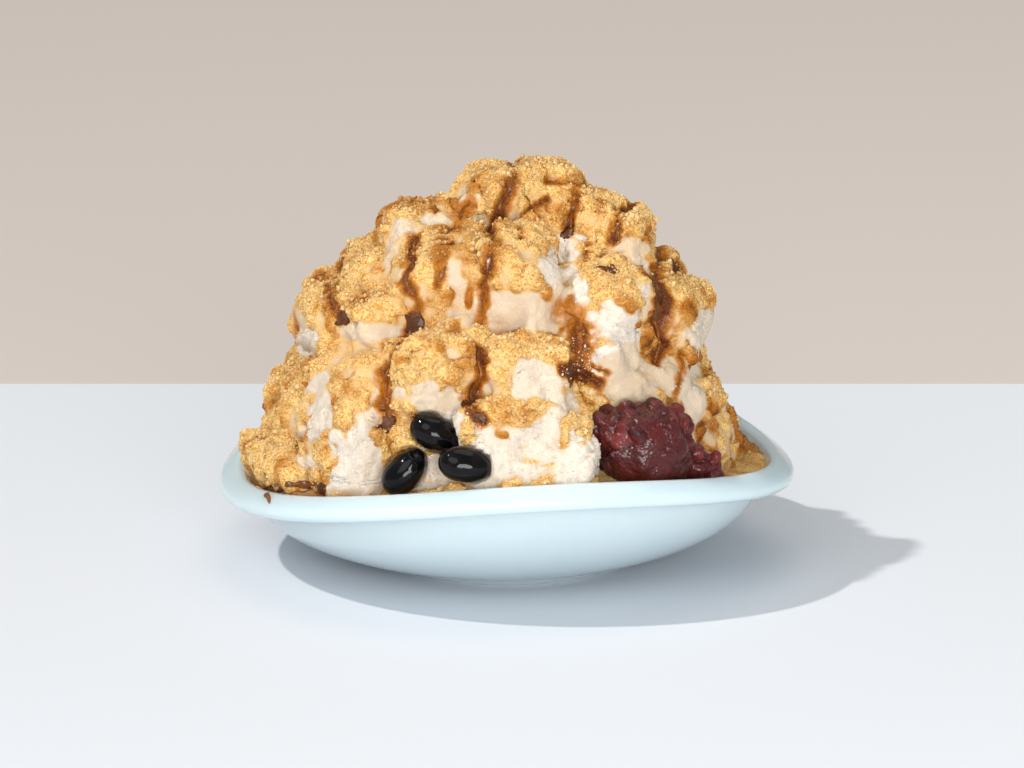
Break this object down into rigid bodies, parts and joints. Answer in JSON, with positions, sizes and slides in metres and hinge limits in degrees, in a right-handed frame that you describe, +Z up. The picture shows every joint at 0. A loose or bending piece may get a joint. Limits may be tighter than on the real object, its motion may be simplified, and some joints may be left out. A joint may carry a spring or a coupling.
{
  "type": "bowl of kakigori",
  "caption": "Heap of shaved ice dusted with roasted soybean flour and run with dark syrup, with bean paste and black soybeans, in a shallow round milk glass dish.",
  "frame": {"origin": "on the table under the middle of the dish's foot", "axes": "+Z up, -Y towards the front with the beans and the paste, +X to the viewer's right"},
  "size_m": [0.1898, 0.1898, 0.1328],
  "materials": {
    "milk_glass": "opaque pale aqua milk glass, glossy and smooth",
    "ice_and_flour": "moist shaved ice under a dusting of tan roasted soybean flour, with creamy white ice bare in places",
    "syrup": "dark amber to brown sugar syrup, wet and glossy",
    "bean_paste": "dark reddish purple sweet adzuki paste, wet and glossy",
    "black_skin": "black glossy skin of a sweet-boiled soybean, faintly wrinkled"
  },
  "bodies": {
    "root": {"dish": "milk_glass", "shaved_ice": "ice_and_flour", "bean_paste": "bean_paste", "black_bean_1": "black_skin", "black_bean_2": "black_skin", "black_bean_3": "black_skin"}
  },
  "joints": []
}
